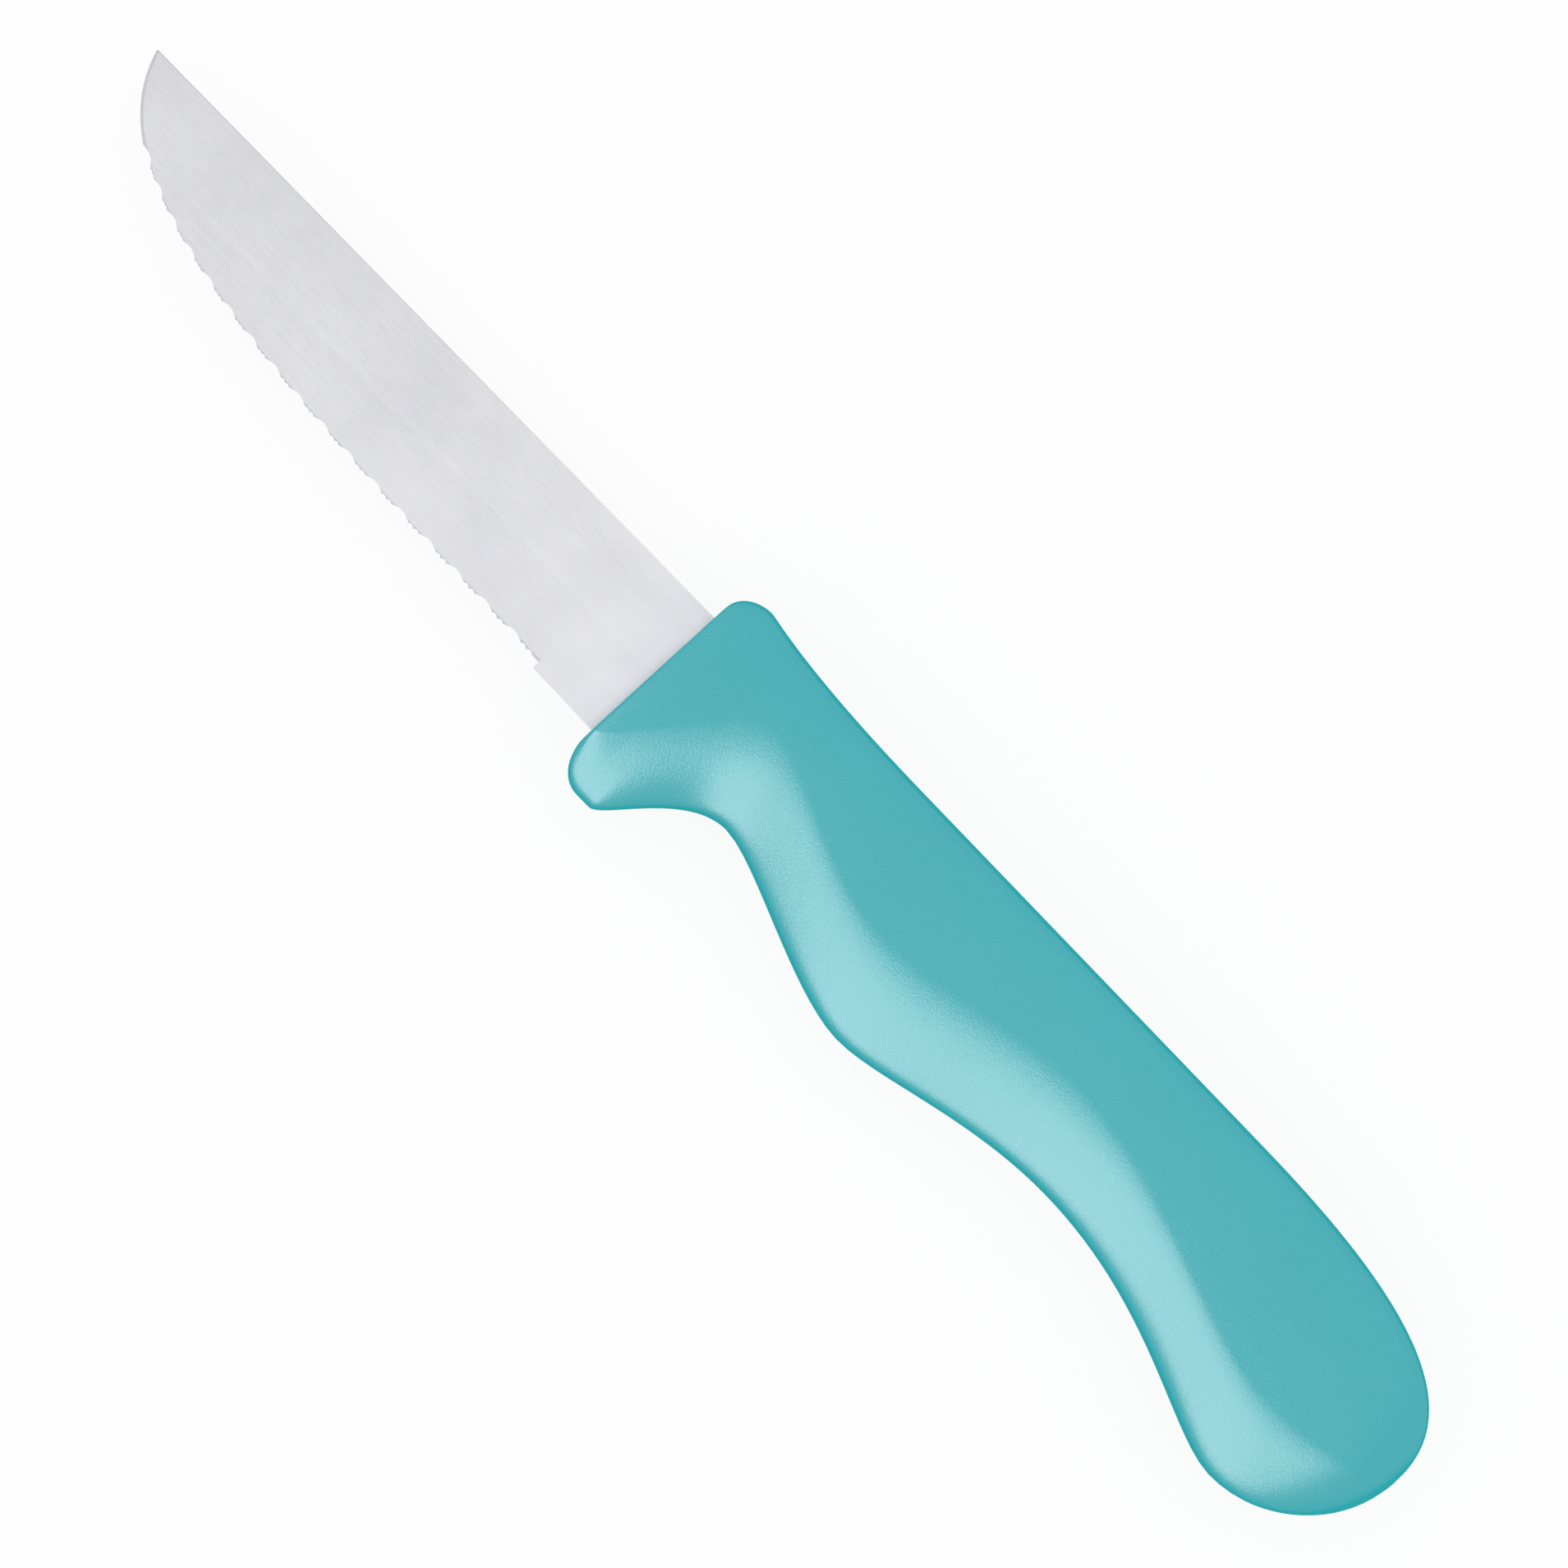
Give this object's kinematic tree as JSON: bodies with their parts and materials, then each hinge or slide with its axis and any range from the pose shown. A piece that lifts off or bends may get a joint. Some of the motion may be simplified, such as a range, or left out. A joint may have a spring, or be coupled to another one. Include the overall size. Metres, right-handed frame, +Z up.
{
  "type": "steak knife",
  "caption": "Table knife for steak: a straight-backed, scalloped stainless blade with a hidden tang, in a moulded grip with a flared guard, finger groove and swollen butt.",
  "frame": {"origin": "centre of the knife's box, on the surface that it lies on", "axes": "+X from the tip to the butt, +Y from the cutting edge to the back, +Z up out of the upper cheek"},
  "size_m": [0.21, 0.0322, 0.014],
  "materials": {
    "blade_steel": "satin stainless steel, ground lengthwise, with a ground scalloped edge",
    "handle_plastic": "teal moulded polypropylene with a fine spark-eroded grain"
  },
  "bodies": {
    "root": {"blade": "blade_steel", "handle": "handle_plastic"}
  },
  "joints": []
}
